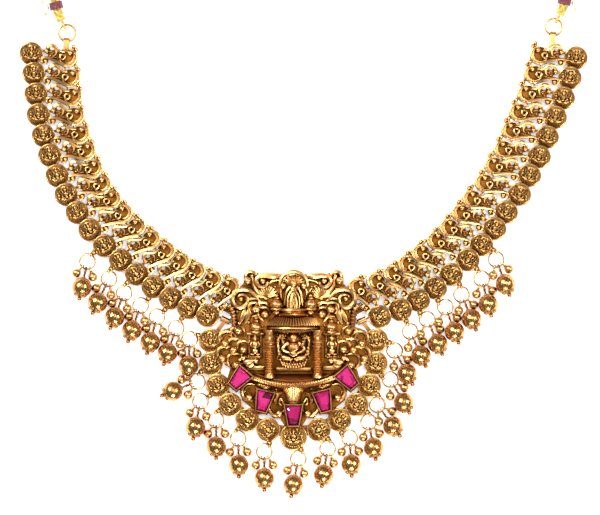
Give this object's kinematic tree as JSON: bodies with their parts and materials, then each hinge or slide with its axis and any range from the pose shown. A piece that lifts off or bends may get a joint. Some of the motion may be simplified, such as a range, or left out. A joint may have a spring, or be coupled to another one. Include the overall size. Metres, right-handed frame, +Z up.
{
  "type": "temple jewellery necklace",
  "caption": "Choker-like gold temple necklace of coin and mango links with ball drops, a pavilion pendant with rubies, and a tied cord back.",
  "frame": {"origin": "centre of the metal part's footprint, on the surface that it lies on", "axes": "+X across the necklace to the picture's right, +Y up the picture towards the neck, +Z up out of the surface"},
  "size_m": [0.1701, 0.2148, 0.007],
  "materials": {
    "antique_gold": "antique gold, polished high and dark in the recesses",
    "ball_gold": "gold with a fine cut pattern",
    "ruby": "faceted red stone",
    "gold_thread": "braided metal thread",
    "maroon_silk": "silk thread, wound",
    "pearl": "pearly"
  },
  "bodies": {
    "root": {"link_left_01": "antique_gold", "link_left_02": "antique_gold", "link_left_03": "antique_gold", "link_left_04": "antique_gold", "link_left_05": "antique_gold", "link_left_06": "antique_gold", "link_left_07": "antique_gold", "link_left_08": "antique_gold", "link_left_09": "antique_gold", "link_left_10": "antique_gold", "link_left_11": "antique_gold", "link_left_12": "antique_gold", "link_left_13": "antique_gold", "link_left_14": "antique_gold", "link_left_15": "antique_gold", "link_left_16": "antique_gold", "link_left_17": "antique_gold", "link_right_01": "antique_gold", "link_right_02": "antique_gold", "link_right_03": "antique_gold", "link_right_04": "antique_gold", "link_right_05": "antique_gold", "link_right_06": "antique_gold", "link_right_07": "antique_gold", "link_right_08": "antique_gold", "link_right_09": "antique_gold", "link_right_10": "antique_gold", "link_right_11": "antique_gold", "link_right_12": "antique_gold", "link_right_13": "antique_gold", "link_right_14": "antique_gold", "link_right_15": "antique_gold", "link_right_16": "antique_gold", "link_right_17": "antique_gold", "pendant_back": "antique_gold", "pendant": "antique_gold", "ruby_1": "ruby", "ruby_2": "ruby", "ruby_3": "ruby", "ruby_4": "ruby", "ruby_5": "ruby", "jump_rings": "antique_gold", "balls_left": "ball_gold", "balls_right": "ball_gold", "balls_pendant": "ball_gold", "side_beads_left": "ball_gold", "side_beads_right": "ball_gold", "side_beads_pendant": "ball_gold", "wires_left": "antique_gold", "wires_right": "antique_gold", "end_ring_left": "antique_gold", "end_ring_right": "antique_gold", "cord_left": "gold_thread", "cord_right": "gold_thread", "cord_threads": "gold_thread", "cord_wraps": "maroon_silk", "cord_pearls": "pearl", "clasp": "antique_gold"}
  },
  "joints": []
}
